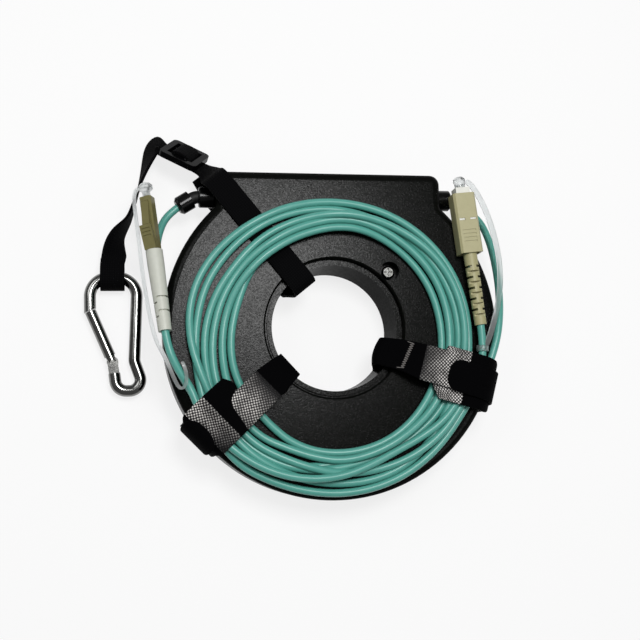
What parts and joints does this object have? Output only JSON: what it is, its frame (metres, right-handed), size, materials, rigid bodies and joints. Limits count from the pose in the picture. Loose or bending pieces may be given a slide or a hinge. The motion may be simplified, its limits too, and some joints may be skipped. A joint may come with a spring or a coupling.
{
  "type": "optical test launch cable",
  "caption": "Ring-shaped launch fibre case for optical tests, with coiled aqua leads ending in SC and LC plugs, hook-and-loop straps, and a webbing lanyard with a snap hook.",
  "frame": {"origin": "on the axis of the ring's hole, on the surface that the straps under the ring lie on", "axes": "+Z along the hole's axis out of the front face, +Y towards the flat top edge, +X to the right of the front view"},
  "size_m": [0.166, 0.1464, 0.0326],
  "materials": {
    "abs_black": "fine spark texture",
    "screw_steel": "plated",
    "coated_fibre": "coated glass fibre, smooth",
    "shrink_sleeve": "clear heat-shrunk",
    "nylon_black": "moulded, slight sheen",
    "rubber_black": "soft moulded",
    "jacket_aqua": "smooth extruded jacket",
    "plastic_beige": "moulded",
    "boot_beige": "soft moulded",
    "plastic_white": "moulded",
    "plastic_olive": "moulded",
    "boot_white": "soft moulded",
    "zirconia": "polished ceramic",
    "spring_steel": "drawn wire",
    "nickel_brass": "nickel plated",
    "clear_plastic": "clear flexible",
    "strap_black": "hook and loop",
    "webbing_black": "flat woven",
    "acetal_black": "moulded, glossy",
    "zinc_bright": "bright plated zinc alloy"
  },
  "bodies": {
    "case": {"rear_shell": "abs_black", "front_cover": "abs_black", "cover_screws": "screw_steel", "fibre_winding": "coated_fibre", "left_splice_sleeve": "shrink_sleeve", "right_splice_sleeve": "shrink_sleeve", "left_gland_body": "nylon_black", "left_gland_nut": "nylon_black", "left_gland_cap": "nylon_black", "right_gland_body": "nylon_black", "right_gland_nut": "nylon_black", "right_gland_cap": "nylon_black", "left_gland_neck": "rubber_black", "right_gland_neck": "rubber_black", "left_lead_tail": "jacket_aqua", "right_lead_tail": "jacket_aqua", "sc_lead_end": "jacket_aqua", "lc_lead_end": "jacket_aqua", "lead_coil": "jacket_aqua", "sc_boot": "boot_beige", "sc_frame": "plastic_white", "lc_housing": "plastic_olive", "lc_boot": "boot_white", "sc_spring": "spring_steel", "lc_spring": "spring_steel", "sc_post": "nickel_brass", "lc_post": "nickel_brass", "sc_crimp": "nickel_brass", "lc_crimp": "nickel_brass", "sc_cap_tether": "clear_plastic", "lc_cap_tether": "clear_plastic", "left_strap": "strap_black", "right_strap": "strap_black", "lanyard_webbing": "webbing_black", "webbing_slide": "acetal_black"},
    "hook": {"snap_hook_body": "zinc_bright", "gate_rivet": "screw_steel"},
    "hook_gate": {"snap_hook_gate": "zinc_bright"},
    "sc_grip": {"sc_grip": "plastic_beige"},
    "sc_ferrule": {"sc_ferrule": "zirconia"},
    "sc_cap": {"sc_dust_cap": "clear_plastic"},
    "lc_ferrule": {"lc_ferrule": "zirconia"},
    "lc_cap": {"lc_dust_cap": "clear_plastic"}
  },
  "joints": [
    {"name": "hook_swing", "type": "hinge", "parent": "case", "child": "hook", "pos_m": [-0.0845, 0.023, 0.0038], "axis": [-1, 0, 0], "range_deg": [0, 65]},
    {"name": "gate_swing", "type": "hinge", "parent": "hook", "child": "hook_gate", "pos_m": [-0.0849, -0.0106, 0.0038], "axis": [0, 0, -1], "range_deg": [0, 28], "stiffness_Nm_per_rad": 0.02, "springref_deg": -28.65},
    {"name": "sc_grip_slide", "type": "slide", "parent": "case", "child": "sc_grip", "axis": [0.1028, -0.9947, 0], "range_m": [0, 0.002]},
    {"name": "sc_ferrule_slide", "type": "slide", "parent": "case", "child": "sc_ferrule", "axis": [0.1028, -0.9947, 0], "range_m": [0, 0.0012], "stiffness_N_per_m": 500, "springref_m": -0.004, "deforming": ["sc_spring"]},
    {"name": "sc_cap_pull", "type": "slide", "parent": "case", "child": "sc_cap", "axis": [-0.1028, 0.9947, 0], "range_m": [0, 0.01]},
    {"name": "lc_ferrule_slide", "type": "slide", "parent": "case", "child": "lc_ferrule", "axis": [0.119, -0.9836, 0.1357], "range_m": [0, 0.0012], "stiffness_N_per_m": 400, "springref_m": -0.004, "deforming": ["lc_spring"]},
    {"name": "lc_cap_pull", "type": "slide", "parent": "case", "child": "lc_cap", "axis": [-0.119, 0.9836, -0.1357], "range_m": [0, 0.008]}
  ]
}
